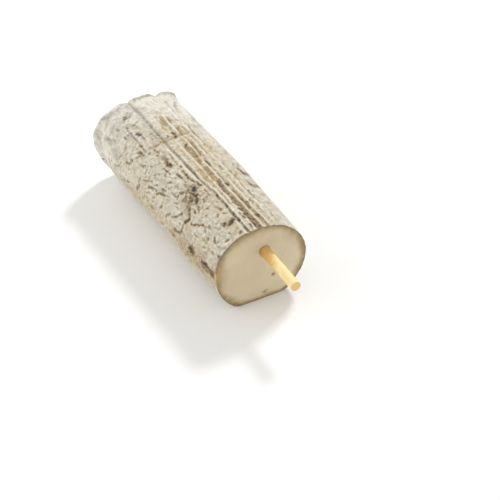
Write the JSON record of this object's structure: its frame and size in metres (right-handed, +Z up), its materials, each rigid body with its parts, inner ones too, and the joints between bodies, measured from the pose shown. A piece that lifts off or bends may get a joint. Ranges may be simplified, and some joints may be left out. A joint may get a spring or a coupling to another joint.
{
  "type": "ripened goat's milk cheese log",
  "caption": "Ripened goat's milk cheese log lying on its flat side, with wrinkled rind and grooves along the top, cut square at one end, and a straw running through its length.",
  "frame": {"origin": "on the table, in the middle of the whole, straw included", "axes": "+X along the log, out of the cut face the way the straw points; +Y to the log's side; +Z up from the flat it rests on"},
  "size_m": [0.1538, 0.0516, 0.0432],
  "materials": {
    "rind": "dry, wrinkled, mould-ripened rind, cream with grey-brown in its creases",
    "straw": "dry golden straw with fine lengthwise fibres"
  },
  "bodies": {
    "root": {"cheese_log": "rind", "rye_straw": "straw"}
  },
  "joints": []
}
